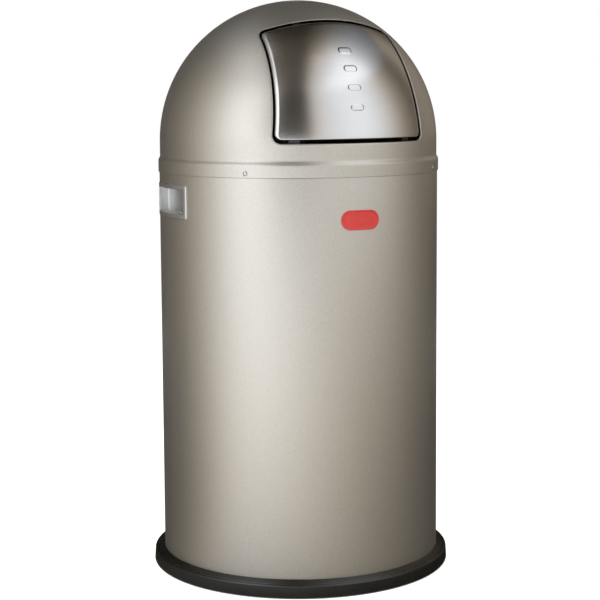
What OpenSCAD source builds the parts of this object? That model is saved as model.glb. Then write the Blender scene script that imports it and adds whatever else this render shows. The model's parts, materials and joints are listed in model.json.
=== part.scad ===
// Push-lid waste bin: a painted steel body tube on a rubber ring, a lift-off
// dome with a sprung stainless push flap, and a galvanised liner with a bail.
// Millimetres, +Z up, floor at z = 0, front of the bin towards -Y.

/* [Body] */
// Overall height, floor to the top of the dome
height = 755; // [720:1:790]
// Outside diameter of the body tube
body_d = 372; // [366:1:380]
// Thickness of the painted steel sheet of body and dome
sheet = 1; // [0.8:0.1:1.2]
// How far the neck under the dome steps in from the body
neck_in = 3.5; // [3:0.1:4]
// Radius of the rolled edge on top of the neck
rim_roll = 2.2; // [2:0.1:2.5]
// Thickness of the floor plate
plate_t = 1.2; // [1:0.1:1.5]
// Height of the floor plate above the floor
plate_z = 20; // [18:0.5:24]

/* [Base ring] */
// How far the rubber base ring stands out past the body tube
ring_over = 14; // [12:0.5:18]
// How far the base ring reaches in under the body tube
ring_under = 10; // [8:0.5:13]
// Height of the base ring against the body
ring_h = 22; // [20:0.5:25]
// Height of the groove floor that the body tube stands on
ring_seat = 8; // [6:0.5:9]
// Height of the ring's outer wall
ring_wall_h = 15.5; // [14:0.5:17]

/* [Dome] */
// Radial step from the dome's skin out to its collar
collar_step = 2.3; // [2:0.1:2.6]
// Radial clearance of the collar over the body
collar_fit = 0.3; // [0.2:0.1:0.5]
// Height of the straight collar
collar_h = 15; // [13:0.5:18]
// Height of the step above the collar
step_h = 6; // [5:0.5:8]
// Height of the straight skirt between the step and the hemisphere
skirt_h = 19; // [16:0.5:24]
// How far the straight body tube reaches up inside the collar
collar_lap = 1; // [0.5:0.1:1.5]

/* [Window] */
// Half width of the window at its lower edge
window_half = 105; // [100:0.5:110]
// Lean of the window's sides towards the middle, in degrees
window_lean = 5.6; // [4.5:0.1:8]
// Height of the window's lower edge above the dome's centre
window_low = 2; // [2:0.5:6]
// Drop of the window's top edge under the top of the dome
window_drop = 28.7; // [26:0.1:34]
// Radius of the window's curved top edge
window_arc = 275; // [250:5:340]
// Corner radius at the window's lower corners
window_r_low = 10; // [9:0.5:14]
// Corner radius at the window's upper corners
window_r_top = 12; // [10:0.5:15]
// Depth of the inward flange round the window
flange_d = 4.5; // [3.5:0.1:5]

/* [Push flap] */
// Thickness of the stainless flap
flap_t = 1; // [0.8:0.1:1.2]
// How far the flap's face lies under the dome's skin
flap_sink = 0.5; // [0.2:0.1:1]
// Gap between flap and window at the sides and top
flap_gap = 2.8; // [2.4:0.1:3.2]
// Extra gap under the flap, where its edge swings down past the flange
flap_gap_low = 2.2; // [2:0.1:3.5]
// Radius of the flap's pressed edge
flap_edge = 4; // [3:0.1:5]
// Depth of the flap's turned-in edge
flap_return = 8; // [7:0.1:9]
// Direction of the hinge axis from straight up, seen from the side, in degrees
hinge_angle = 25; // [24:0.1:26]
// Depth of the hinge axis under the dome's skin
hinge_depth = 19.5; // [18.5:0.1:21]
// Diameter of the hinge axle
axle_d = 6; // [5:0.5:7]
// Radial running clearance on the axle
axle_fit = 0.05; // [0.02:0.01:0.1]
// Distance of the dome's hinge brackets from the middle
bracket_x = 34; // [32:0.5:38]
// Wire diameter of the torsion spring
spring_wire = 1.6; // [1.2:0.1:1.8]
// Number of turns of the torsion spring
spring_turns = 9; // [6:1:10]
// Length of one turn of the torsion spring along the axle
spring_pitch = 2.4; // [2.3:0.1:2.8]
// Direction of the stop tabs from the front, in degrees
stop_angle = 26; // [22:1:28]

/* [Grips] */
// Width of a grip frame along the body
grip_w = 100; // [90:1:108]
// Height of a grip frame
grip_h = 44; // [40:0.5:50]
// Width of the frame's border
grip_border = 6; // [5:0.5:8]
// How far a grip frame stands proud of the body
grip_proud = 1.5; // [1.2:0.1:2]
// Depth of the finger recess from the frame's face
grip_depth = 18.5; // [16:0.5:20]
// Wall of the recess
grip_wall = 1.5; // [1.2:0.1:1.8]
// Undercut above the recess where the fingers hook in
grip_under = 3; // [2:0.5:3]
// Distance of the grips under the collar
grip_drop = 12.7; // [11.5:0.1:16]

/* [Badge] */
// Width of the blank badge
badge_w = 52; // [40:1:60]
// Height of the blank badge
badge_h = 25; // [20:1:30]
// Height of the badge's raised rim above the body
badge_proud = 1.8; // [1.6:0.1:2.4]
// Distance of the badge's middle under the collar
badge_drop = 53.4; // [45:0.1:70]

/* [Liner] */
// Gap between the liner's rim and the grips' recesses
liner_gap = 2; // [1.5:0.1:3]
// Thickness of the galvanised sheet
liner_t = 0.8; // [0.6:0.1:1]
// How much narrower the liner is at its foot, on the radius
liner_taper = 10; // [6:1:16]
// How far the liner's rim lies under the body's rim
liner_drop = 8; // [7:0.5:9]
// Radius of the liner's rolled rim
liner_roll = 2.2; // [2:0.1:2.4]
// Wire diameter of the bail
bail_d = 4; // [3.5:0.1:4.5]
// Gap between the bail's sleeve and the liner's rim
bail_gap = 1; // [0.8:0.1:1.6]
// Outside diameter of the bail's plastic sleeve
sleeve_d = 10; // [9:0.5:10.5]
// Drop of the bail's pivots under the liner's rim
pivot_drop = 9.5; // [9:0.1:10.5]

/* [Hidden] */
$fn = 96;

seat = 0.3;       // gap at rest between pieces that touch on the real bin
touch = 0.1;      // gap between pieces of one body that lie on each other
over = 1;         // how far a cutting shape runs past what it cuts

// body, collar and dome
body_r = body_d / 2;
body_in = body_r - sheet;
collar_in = body_r + collar_fit;
collar_r = collar_in + sheet;
dome_r = collar_r - collar_step;
dome_in = dome_r - sheet;
dome_z = height - dome_r;
step_top = dome_z - skirt_h;
step_low = step_top - step_h;
collar_low = step_low - collar_h;
clip_t = 0.8;
rim_top = step_low - clip_t - seat - 0.4;
shoulder_low = collar_low + collar_lap;
shoulder_slope = 0.8;
shoulder_top = shoulder_low + neck_in * shoulder_slope;
neck_r = body_r - neck_in;
rim_mid = neck_r - rim_roll;

// floor plate and base ring
plate_r = body_in - touch;
plate_flange = 12;
bead_r = body_r * 0.68;
bead_half = 10;
bead_ramp = 4;
bead_d = 3;
ring_r = body_r + ring_over;
bore_r = body_r - ring_under;
ring_edge = 1.5;
ring_shoulder = 3;
ring_draft = 0.8;
ring_flat = 2.7;
ring_fall = 0.4;
ring_lip_h = 5;
ring_crown = 1;
line_r = 0.8;

// collar clips and their rivets
clip_angles = [45, 135, 225, 315];
clip_w = 14;
clip_out = collar_in - touch;
clip_in = rim_mid - rim_roll - clip_t - 0.8;
clip_leg = 6.5;
rivet_z = collar_low + 5.4;
rivet_r = 1.6;
rivet_tail_r = 2.5;
rivet_head_r = 3;
rivet_head_h = 1.3;
rivet_tail_h = 1;

// push flap and its hinge
flap_r = dome_r - flap_sink;
flap_in = flap_r - flap_t;
window_top = dome_r - window_drop;
hinge_y = (dome_r - hinge_depth) * sin(hinge_angle);
hinge_h = (dome_r - hinge_depth) * cos(hinge_angle);
axle_r = axle_d / 2;
bracket_t = 1.5;
clip_gap = seat;
axle_clip_t = 0.8;
axle_clip_w = 2.4;
axle_clip_len = 4;
axle_stub = 2.2;
axle_end = bracket_x + bracket_t + clip_gap + axle_clip_t + axle_stub;
bracket_foot = [8, 19];
bracket_foot_w = 13;
bracket_eye = 3.5;
groove_d = 0.5;
bush_wall = 1.4;
bush_r = axle_r + axle_fit + bush_wall;
bush_flange_t = 1.2;
bush_flange_r = bush_r + 1.8;
bush_nose = 1.5;
ear_x = bracket_x - seat - bush_flange_t - touch - bracket_t;
ear_eye = 2.6;
web_t = 1.2;
web_r = flap_in - 4 * touch;
web_span = [41, 55];
flap_leg_angle = 44;
dome_leg_angle = 16;
tab_t = 1.2;
tab_w = 14;
buffer_r = 4;
buffer_root = 2;
buffer_drop = 1.5;
flap_low = window_low + flap_gap_low;
spring_gap = 1.7;
spring_r = axle_r + spring_gap + spring_wire / 2;

// grips
grip_top = collar_low - grip_drop;
grip_mid = grip_top - grip_h / 2;
grip_face = body_r + grip_proud;
recess_back = grip_face - grip_depth;
pocket_back = recess_back - grip_wall;
recess_w = grip_w - 2 * grip_border;
recess_h = grip_h - 2 * grip_border;
pocket_w = recess_w + 2 * grip_wall;
grip_corner = 3;
grip_lip = 4;
lug_w = 8;
lug_lead = 2;
lug_barb = 1.2;

// badge
badge_mid = collar_low - badge_drop;
badge_base = 1;
badge_rim = 1.7;

// liner and bail
liner_r = pocket_back - liner_gap;
liner_top = rim_top - liner_drop;
liner_low = plate_z + seat;
liner_mid = liner_r - liner_roll;
wall_top_r = liner_mid + liner_roll / 11;
wall_low_r = wall_top_r - liner_taper;
swages = [0.33, 0.66];
swage_d = 1.6;
swage_h = 10;
floor_lift = 6;
floor_bend = 1;
bail_r = liner_r + bail_gap + sleeve_d / 2;
pivot_z = liner_top - pivot_drop;
ear_w = 30;
ear_t = 1.2;
ear_top = liner_top - 2 * liner_roll - touch;
ledge_z = pivot_z - bail_d / 2 - seat;
ear_rivet_z = (ledge_z + ear_top) / 2;
ear_rivet_y = ear_w * 0.34;
ear_corner = 2;
boss_r = ear_top - pivot_z - seat;
sleeve_angle = 28;

paint = [0.63, 0.60, 0.54];
steel = [0.72, 0.72, 0.72];
zinc = [0.66, 0.68, 0.70];
satin = [0.75, 0.76, 0.76];
rubber = [0.07, 0.07, 0.07];
nylon = [0.88, 0.87, 0.83];
red = [0.78, 0.10, 0.10];

// Outline of the window in front view, as points [x, height above centre].
// grow moves every edge outwards, and steps splits the straight edges.
function side_normal() = [cos(window_lean), sin(window_lean)];
function low_corner(low) =
    let (n = side_normal(),
         c = n[0] * window_half + n[1] * window_low,
         y = low + window_r_low)
    [(c - window_r_low - n[1] * y) / n[0], y];
function top_corner(top) =
    let (n = side_normal(),
         c = n[0] * window_half + n[1] * window_low - window_r_top,
         d = [-n[1], n[0]],
         hub = [0, top - window_arc],
         q = n * c - hub,
         r = window_arc - window_r_top)
    n * c + d * (-(q * d) + sqrt((q * d) * (q * d) - q * q + r * r));
function arc_points(mid, r, from, to, count) =
    [for (i = [0 : count]) let (a = from + (to - from) * i / count)
        mid + r * [cos(a), sin(a)]];
function line_points(from, to, count) =
    count < 2 ? [] : [for (i = [1 : count - 1]) from + (to - from) * i / count];
function half_outline(grow, low, top, steps) =
    let (a = low_corner(low), b = top_corner(top),
         hub = [0, top - window_arc],
         turn = atan2(b[1] - hub[1], b[0]),
         low_arc = arc_points(a, window_r_low + grow, -90, window_lean, 5),
         top_arc = arc_points(b, window_r_top + grow, window_lean, turn, 5))
    concat(line_points([0, low - grow], low_arc[0], steps), low_arc,
           line_points(low_arc[5], top_arc[0], steps), top_arc,
           [for (i = [1 : 5]) let (t = turn + (90 - turn) * i / 6)
               hub + (window_arc + grow) * [cos(t), sin(t)]]);
function outline(grow, low, top, steps) =
    let (half = half_outline(grow, low, top, steps), n = len(half))
    concat([[0, low - grow]], half, [[0, top + grow]],
           [for (i = [n - 1 : -1 : 0]) [-half[i][0], half[i][1]]]);

// Stands a front-view shape up and runs it from the front to the middle.
module from_front(depth = dome_r + over) {
    translate([0, 0, dome_z])
        rotate([90, 0, 0])
            linear_extrude(depth)
                children();
}

// Turns a side-view shape, drawn as [y, height above the dome's centre],
// into a plate that starts at x and has the thickness t.
module side_plate(x, t) {
    translate([x, 0, dome_z])
        rotate([90, 0, 90])
            linear_extrude(t)
                children();
}

module dome_ball(r) {
    translate([0, 0, dome_z])
        sphere(r);
}

module rounded_rect(w, h, r) {
    square([w - 2 * r, h], center = true);
    square([w, h - 2 * r], center = true);
    for (x = [-1, 1], y = [-1, 1])
        translate([x * (w / 2 - r), y * (h / 2 - r)])
            circle(r);
}

// A curved plate between two radii, cut to an outline seen along +X.
module curved_plate(r_in, r_out, z) {
    intersection() {
        translate([0, 0, z])
            rotate([90, 0, 90])
                linear_extrude(r_out + over)
                    children();
        translate([0, 0, z - height / 8])
            difference() {
                cylinder(h = height / 4, r = r_out);
                translate([0, 0, -over])
                    cylinder(h = height / 4 + 2 * over, r = r_in);
            }
    }
}

function polar(r, a) = [-r * sin(a), r * cos(a)];

module tube_profile() {
    polygon([
        [body_r, ring_seat],
        [body_r, shoulder_low],
        [neck_r, shoulder_top],
        [neck_r, rim_top - rim_roll],
        [neck_r - sheet, rim_top - rim_roll],
        [neck_r - sheet, shoulder_top - sheet / 2],
        [body_in, shoulder_low - sheet / 2],
        [body_in, ring_seat]
    ]);
    translate([rim_mid, rim_top - rim_roll])
        difference() {
            circle(rim_roll);
            circle(rim_roll - sheet);
            translate([-sheet / 2, -2 * rim_roll])
                square([rim_roll - sheet / 2, 2 * rim_roll]);
        }
}

module grip_hole() {
    translate([0, 0, grip_mid + grip_under / 2])
        rotate([90, 0, 90])
            linear_extrude(body_r + over)
                square([pocket_w + 2 * seat,
                        recess_h + 2 * grip_wall + grip_under + 2 * seat],
                       center = true);
}

module outer_tube() {
    color(paint)
        difference() {
            rotate_extrude()
                tube_profile();
            for (side = [0, 180])
                rotate([0, 0, side])
                    grip_hole();
        }
}

module floor_plate() {
    under = bead_half + bead_ramp;
    upper = under - plate_t;
    color(zinc)
        rotate_extrude()
            polygon([
                [0, plate_z - plate_t],
                [bead_r - under, plate_z - plate_t],
                [bead_r - bead_half, plate_z - plate_t - bead_d],
                [bead_r + bead_half, plate_z - plate_t - bead_d],
                [bead_r + under, plate_z - plate_t],
                [plate_r, plate_z - plate_t],
                [plate_r, plate_z + plate_flange],
                [plate_r - plate_t, plate_z + plate_flange],
                [plate_r - plate_t, plate_z],
                [bead_r + upper, plate_z],
                [bead_r + upper - bead_ramp, plate_z - bead_d],
                [bead_r - upper + bead_ramp, plate_z - bead_d],
                [bead_r - upper, plate_z],
                [0, plate_z]
            ]);
}

module base_ring() {
    lip_z = ring_seat + ring_lip_h;
    flange_z = ring_wall_h + ring_shoulder;
    shoulder_r = ring_r - ring_draft - ring_shoulder;
    color(rubber)
        rotate_extrude() {
            difference() {
                polygon([
                    [bore_r + ring_edge, 0],
                    [ring_r - ring_edge, 0],
                    [ring_r, ring_edge],
                    [ring_r - ring_draft, ring_wall_h],
                    [shoulder_r, ring_wall_h],
                    [shoulder_r, flange_z],
                    [shoulder_r - ring_flat, flange_z + ring_fall],
                    [body_r + 2 * ring_crown, ring_h - ring_crown / 2],
                    [body_r + ring_crown, ring_h],
                    [body_r + touch, ring_h - seat],
                    [body_r + touch, ring_seat],
                    [body_in - touch, ring_seat],
                    [body_in - touch, lip_z],
                    [bore_r + ring_edge, lip_z],
                    [bore_r, lip_z - ring_edge],
                    [bore_r, ring_edge]
                ]);
                translate([shoulder_r - ring_flat / 2, flange_z + ring_fall])
                    circle(line_r);
            }
            translate([shoulder_r, ring_wall_h])
                intersection() {
                    circle(ring_shoulder);
                    square(ring_shoulder);
                }
        }
}

module grip() {
    pocket_h = recess_h + 2 * grip_wall;
    color(satin)
        difference() {
            union() {
                curved_plate(body_r + touch, grip_face, grip_mid)
                    rounded_rect(grip_w, grip_h, grip_corner);
                intersection() {
                    translate([pocket_back, -pocket_w / 2, grip_mid - pocket_h / 2])
                        cube([grip_face - pocket_back, pocket_w,
                              pocket_h + grip_under]);
                    cylinder(h = height, r = body_r + grip_proud / 2);
                }
                for (side = [-1, 1], y = [-1, 1])
                    translate([body_in - 3 * lug_barb - seat,
                               y * recess_w / 4 - lug_w / 2,
                               grip_mid + side * pocket_h / 2
                               + (side > 0 ? grip_under : 0)])
                        rotate([90, 0, 90])
                            linear_extrude(1.5 * lug_barb)
                                polygon([[0, -side * touch],
                                         [lug_w, -side * touch],
                                         [lug_w - lug_lead, side * lug_barb],
                                         [lug_lead, side * lug_barb]]);
            }
            translate([recess_back, -recess_w / 2, grip_mid - recess_h / 2])
                cube([grip_depth + over, recess_w, recess_h]);
            translate([recess_back, -recess_w / 2, grip_mid])
                cube([grip_depth - grip_proud - grip_lip, recess_w,
                      recess_h / 2 + grip_under]);
        }
}

module left_grip() {
    rotate([0, 0, 180])
        grip();
}

module right_grip() {
    grip();
}

module badge() {
    color(red)
        rotate([0, 0, -90])
            difference() {
                curved_plate(body_r + touch, body_r + badge_proud, badge_mid)
                    rounded_rect(badge_w, badge_h, badge_h / 2 - 0.01);
                intersection() {
                    curved_plate(body_r + badge_base,
                                 body_r + badge_proud + over, badge_mid)
                        rounded_rect(badge_w - 2 * badge_rim,
                                     badge_h - 2 * badge_rim,
                                     badge_h / 2 - badge_rim - 0.01);
                }
            }
}

function step_points(r_low, r_top, count) =
    [for (i = [0 : count])
        [r_low + (r_top - r_low) * (1 - cos(180 * i / count)) / 2,
         step_low + step_h * i / count]];

module dome_profile() {
    translate([0, dome_z])
        intersection() {
            difference() {
                circle(dome_r);
                circle(dome_in);
            }
            square(dome_r + over);
        }
    polygon(concat(
        [[collar_in, collar_low], [collar_r, collar_low]],
        step_points(collar_r, dome_r, 6),
        [[dome_r, dome_z], [dome_in, dome_z]],
        [for (i = [6 : -1 : 0]) step_points(collar_in, dome_in, 6)[i]]
    ));
}

module window_flange() {
    difference() {
        intersection() {
            from_front()
                polygon(outline(sheet, window_low, window_top, 1));
            dome_ball(dome_r - sheet / 3);
        }
        translate([0, over, 0])
            from_front(dome_r + 2 * over)
                polygon(outline(0, window_low, window_top, 1));
        translate([0, flange_d, 0])
            dome_ball(dome_r);
    }
}

module dome_shell() {
    color(paint)
        union() {
            difference() {
                rotate_extrude()
                    dome_profile();
                from_front()
                    polygon(outline(0, window_low, window_top, 1));
                for (a = clip_angles)
                    rotate([0, 0, a])
                        translate([0, 0, rivet_z])
                            rotate([0, 90, 0])
                                cylinder(h = collar_r + over, r = rivet_r + touch);
            }
            window_flange();
        }
}

module collar_clip() {
    leg_low = rivet_z - rivet_tail_r - seat;
    hook_low = rim_top + seat;
    difference() {
        intersection() {
            translate([0, -clip_w / 2, 0])
                cube([collar_r, clip_w, height]);
            rotate_extrude()
                polygon([
                    [clip_out, leg_low],
                    [clip_out, hook_low + clip_t],
                    [clip_in, hook_low + clip_t],
                    [clip_in, hook_low + clip_t - clip_leg],
                    [clip_in + clip_t, hook_low + clip_t - clip_leg],
                    [clip_in + clip_t, hook_low],
                    [clip_out - clip_t, hook_low],
                    [clip_out - clip_t, leg_low]
                ]);
        }
        translate([0, 0, rivet_z])
            rotate([0, 90, 0])
                cylinder(h = collar_r, r = rivet_r + touch);
    }
}

module collar_clips() {
    color(steel)
        for (a = clip_angles)
            rotate([0, 0, a])
                collar_clip();
}

// A rivet through the collar and its clip, with a dished outer head.
module collar_rivet() {
    dish_r = (rivet_head_r * rivet_head_r + rivet_head_h * rivet_head_h)
             / (2 * rivet_head_h);
    tail_in = clip_out - clip_t - rivet_tail_h - touch;
    rotate([0, 90, 0])
        union() {
            translate([0, 0, tail_in])
                cylinder(h = rivet_tail_h, r = rivet_tail_r);
            translate([0, 0, tail_in])
                cylinder(h = collar_r - tail_in + seat, r = rivet_r);
            translate([0, 0, collar_r + touch])
                intersection() {
                    translate([0, 0, rivet_head_h - dish_r])
                        sphere(dish_r);
                    cylinder(h = rivet_head_h + over, r = rivet_head_r);
                }
        }
}

module collar_rivets() {
    color(steel)
        for (a = clip_angles)
            rotate([0, 0, a])
                translate([0, 0, rivet_z])
                    collar_rivet();
}

// Plate from the axle up to the dome, with a foot that follows the dome.
module dome_bracket(side) {
    eye_r = axle_r + bracket_eye;
    far = dome_r + over;
    x = side > 0 ? bracket_x : -bracket_x - bracket_t;
    foot_x = side > 0 ? bracket_x : -bracket_x - bracket_foot_w;
    color(steel)
        difference() {
            intersection() {
                union() {
                    side_plate(x, bracket_t) {
                        translate([-hinge_y, hinge_h])
                            circle(eye_r);
                        polygon([
                            [-hinge_y - eye_r * 0.7, hinge_h + eye_r * 0.7],
                            polar(far, bracket_foot[1]),
                            polar(far, bracket_foot[0]),
                            [-hinge_y + eye_r * 0.7, hinge_h - eye_r * 0.7]
                        ]);
                    }
                    difference() {
                        side_plate(foot_x, bracket_foot_w)
                            polygon([[0, 0], polar(far, bracket_foot[1]),
                                     polar(far, bracket_foot[0])]);
                        dome_ball(dome_in - touch - bracket_t);
                    }
                }
                dome_ball(dome_in - touch);
            }
            side_plate(x - over, bracket_t + 2 * over)
                translate([-hinge_y, hinge_h])
                    circle(axle_r + axle_fit);
        }
}

module left_hinge_bracket() {
    dome_bracket(-1);
}

module right_hinge_bracket() {
    dome_bracket(1);
}

module hinge_axle() {
    groove_x = bracket_x + bracket_t + clip_gap - touch;
    color(steel)
        difference() {
            side_plate(-axle_end, 2 * axle_end)
                translate([-hinge_y, hinge_h])
                    circle(axle_r);
            for (x = [groove_x, -groove_x - axle_clip_t - 2 * touch])
                side_plate(x, axle_clip_t + 2 * touch)
                    translate([-hinge_y, hinge_h])
                        difference() {
                            circle(axle_r + over);
                            circle(axle_r - groove_d);
                        }
        }
}

module axle_clips() {
    clip_x = bracket_x + bracket_t + clip_gap;
    mouth = axle_r * 1.1;
    color(steel)
        for (x = [clip_x, -clip_x - axle_clip_t])
            side_plate(x, axle_clip_t)
                translate([-hinge_y, hinge_h])
                    difference() {
                        circle(axle_r + axle_clip_w);
                        circle(axle_r - groove_d + touch / 2);
                        translate([-mouth / 2, -2 * axle_r - axle_clip_len])
                            square([mouth, 2 * axle_r + axle_clip_len]);
                    }
}

// Torsion spring: a leg to the dome, turns round the axle, a leg to the flap.
spring_steps = 8;
spring_sides = 6;
spring_len = spring_turns * spring_pitch;
function leg_aim(r, a) =
    polar(sqrt(r * r - spring_len * spring_len / 4), a) - [-hinge_y, hinge_h];
flap_leg_aim = leg_aim(web_r - web_t - seat - spring_wire / 2, flap_leg_angle);
dome_leg_aim = leg_aim(dome_in - seat - spring_wire / 2, dome_leg_angle);
function tangent_angle(aim, sign) =
    atan2(aim[1], aim[0]) + sign * acos(spring_r / norm(aim));
dome_leg_turn = tangent_angle(dome_leg_aim, 1);
flap_leg_turn = tangent_angle(flap_leg_aim, -1);
spring_sweep = 360 * spring_turns
               + (flap_leg_turn - dome_leg_turn);
spring_count = round(abs(spring_sweep) / 360 * spring_steps);
spring_coil = [for (i = [0 : spring_count])
    let (a = dome_leg_turn + spring_sweep * i / spring_count)
    [-spring_len / 2 + spring_len * i / spring_count,
     spring_r * cos(a), spring_r * sin(a)]];
spring_route = concat(
    [[-spring_len / 2, dome_leg_aim[0], dome_leg_aim[1]],
     ([-spring_len / 2, dome_leg_aim[0], dome_leg_aim[1]] + 3 * spring_coil[0]) / 4],
    spring_coil,
    [([spring_len / 2, flap_leg_aim[0], flap_leg_aim[1]]
      + 3 * spring_coil[spring_count]) / 4,
     [spring_len / 2, flap_leg_aim[0], flap_leg_aim[1]]]);

function unit(v) = v / norm(v);
function route_dir(p, i) =
    unit(p[min(i + 1, len(p) - 1)] - p[max(i - 1, 0)]);
function tube_ring(p, i, r, sides) =
    let (t = route_dir(p, i), n = unit(cross(t, [1, 0, 0])), b = cross(t, n))
    [for (k = [0 : sides - 1])
        p[i] + r * (cos(360 * k / sides) * n + sin(360 * k / sides) * b)];

module wire(p, r, sides) {
    n = len(p);
    points = [for (i = [0 : n - 1]) each tube_ring(p, i, r, sides)];
    walls = [for (i = [0 : n - 2], k = [0 : sides - 1])
        let (a = i * sides + k, b = i * sides + (k + 1) % sides)
        each [[a, b + sides, b], [a, a + sides, b + sides]]];
    caps = [for (k = [1 : sides - 2])
        each [[0, k, k + 1],
              [(n - 1) * sides, (n - 1) * sides + k + 1, (n - 1) * sides + k]]];
    polyhedron(points, concat(walls, caps));
}

spring_near = min([for (i = [0 : len(spring_coil) - 1],
                        j = [i + spring_steps / 2 : len(spring_coil) - 1])
    norm(spring_coil[i] - spring_coil[j])]) - spring_wire;
echo(spring_gap_mm = spring_near);

module flap_spring() {
    color(steel)
        translate([0, -hinge_y, dome_z + hinge_h])
            wire(spring_route, spring_wire / 2, spring_sides);
}

// Push flap: concentric loops on a ball, carried round its pressed edge.
face_loops = 9;
edge_turns = [90, 60, 30, 0];
function on_ball(p, r, drop) =
    [p[0], -sqrt(r * r - p * p) + drop, p[1]];
function flap_outline(inset) =
    outline(-flap_gap - inset, flap_low, window_top, 6);
function toward(points, middle, share) =
    [for (p = points) middle + (p - middle) * share];
function lift(points, r, drop) = [for (p = points) on_ball(p, r, drop)];

module push_flap() {
    middle = [0, (flap_low + window_top) / 2];
    face = flap_outline(flap_edge);
    n = len(face);
    outer_face = [for (i = [1 : face_loops])
        lift(toward(face, middle, i / face_loops), flap_r, 0)];
    outer_edge = [for (a = [edge_turns[1], edge_turns[2], edge_turns[3]])
        lift(flap_outline(flap_edge * (1 - cos(a))), flap_r,
             flap_edge * (1 - sin(a)))];
    outer_end = lift(flap_outline(0), flap_r, flap_return);
    inner_end = lift(flap_outline(flap_t), flap_r, flap_return);
    inner_edge = [for (a = [edge_turns[3], edge_turns[2], edge_turns[1]])
        lift(flap_outline(flap_t + (flap_edge - flap_t) * (1 - cos(a))), flap_in,
             (flap_edge - flap_t) * (1 - sin(a)))];
    inner_face = [for (i = [face_loops : -1 : 1])
        lift(toward(face, middle, i / face_loops), flap_in, 0)];
    loops = concat(outer_face, outer_edge, [outer_end], [inner_end],
                   inner_edge, inner_face);
    count = len(loops);
    points = concat([for (l = loops) each l],
                    [on_ball(middle, flap_r, 0), on_ball(middle, flap_in, 0)]);
    walls = [for (i = [0 : count - 2], k = [0 : n - 1])
        let (a = i * n + k, b = i * n + (k + 1) % n)
        each [[a, b, b + n], [a, b + n, a + n]]];
    fans = [for (k = [0 : n - 1])
        each [[count * n, (k + 1) % n, k],
              [count * n + 1, (count - 1) * n + k, (count - 1) * n + (k + 1) % n]]];
    color(steel)
        translate([0, 0, dome_z])
            polyhedron(points, concat(walls, fans));
}

// Welded inside the flap: a web that follows the flap, and two ears.
module flap_hinge_bracket() {
    eye_r = bush_r + ear_eye;
    far = dome_r + over;
    color(steel)
        difference() {
            intersection() {
                union() {
                    for (x = [ear_x, -ear_x - bracket_t])
                        side_plate(x, bracket_t) {
                            translate([-hinge_y, hinge_h])
                                circle(eye_r);
                            polygon([
                                [-hinge_y - eye_r * 0.2, hinge_h + eye_r * 0.97],
                                polar(far, web_span[0]),
                                polar(far, web_span[1]),
                                [-hinge_y + eye_r * 0.5, hinge_h - eye_r * 0.86]
                            ]);
                        }
                    difference() {
                        side_plate(-ear_x - bracket_t, 2 * (ear_x + bracket_t))
                            polygon([[0, 0], polar(far, web_span[0]),
                                     polar(far, web_span[1])]);
                        dome_ball(web_r - web_t);
                    }
                }
                dome_ball(web_r);
            }
            side_plate(-ear_x - bracket_t - over, 2 * (ear_x + bracket_t + over))
                translate([-hinge_y, hinge_h])
                    circle(bush_r + touch / 2);
        }
}

module hinge_bushes() {
    flange_x = ear_x + bracket_t + touch;
    color(nylon)
        for (side = [0, 1])
            mirror([side, 0, 0])
                difference() {
                    union() {
                        side_plate(ear_x - bush_nose,
                                   flange_x + bush_flange_t - ear_x + bush_nose)
                            translate([-hinge_y, hinge_h])
                                circle(bush_r);
                        side_plate(flange_x, bush_flange_t)
                            translate([-hinge_y, hinge_h])
                                circle(bush_flange_r);
                    }
                    side_plate(ear_x - bush_nose - over, bracket_x)
                        translate([-hinge_y, hinge_h])
                            circle(axle_r + axle_fit);
                }
}

// Radii and heights of the stop tabs, in the plane of each tab.
tab_out = flap_r - flap_return * cos(stop_angle) - 3 * seat;
tab_foot_z = flap_low + flap_gap + flap_t + touch;
buffer_z = window_low - sheet - buffer_r - buffer_drop;

module flap_stop_tabs() {
    foot_len = (flap_return - flap_edge) * cos(stop_angle);
    tab_low = buffer_z - buffer_r - 1;
    color(steel)
        for (side = [-1, 1])
            rotate([0, 0, -90 + side * stop_angle])
                translate([0, tab_w / 2, dome_z])
                    rotate([90, 0, 0])
                        linear_extrude(tab_w)
                            polygon([
                                [tab_out - tab_t, tab_low],
                                [tab_out, tab_low],
                                [tab_out, tab_foot_z],
                                [tab_out + foot_len, tab_foot_z],
                                [tab_out + foot_len, tab_foot_z + tab_t],
                                [tab_out - tab_t, tab_foot_z + tab_t]
                            ]);
}

module flap_buffers() {
    color(rubber)
        for (side = [-1, 1])
            rotate([0, 0, -90 + side * stop_angle])
                translate([tab_out + touch / 2, 0, dome_z + buffer_z])
                    rotate([0, 90, 0]) {
                        cylinder(h = buffer_root, r = buffer_r);
                        translate([0, 0, buffer_root])
                            cylinder(h = dome_in - seat - tab_out - buffer_root - touch,
                                     r1 = buffer_r, r2 = buffer_r * 0.75);
                    }
}

liner_rise = liner_top - liner_roll - liner_low;
function wall_r(z) =
    wall_low_r + (wall_top_r - wall_low_r) * (z - liner_low) / liner_rise;
function swage_points(inset) =
    [for (s = swages, k = [-1, -0.5, 0.5, 1])
        let (z = liner_low + liner_rise * s + k * swage_h / 2)
        [wall_r(z) - inset + (abs(k) < 1 ? swage_d : 0), z]];

module liner_wall() {
    outer = concat([[wall_low_r, liner_low]], swage_points(0),
                   [[wall_top_r, liner_top - liner_roll]]);
    inner = concat([[wall_low_r - liner_t, liner_low]], swage_points(liner_t),
                   [[wall_top_r - liner_t, liner_top - liner_roll]]);
    color(zinc)
        rotate_extrude() {
            polygon(concat(outer, [for (i = [len(inner) - 1 : -1 : 0]) inner[i]]));
            translate([liner_mid, liner_top - liner_roll])
                difference() {
                    circle(liner_roll);
                    circle(liner_roll - liner_t);
                    translate([-liner_roll - over, -2 * liner_roll])
                        square([liner_roll + over, 2 * liner_roll]);
                }
        }
}

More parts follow.
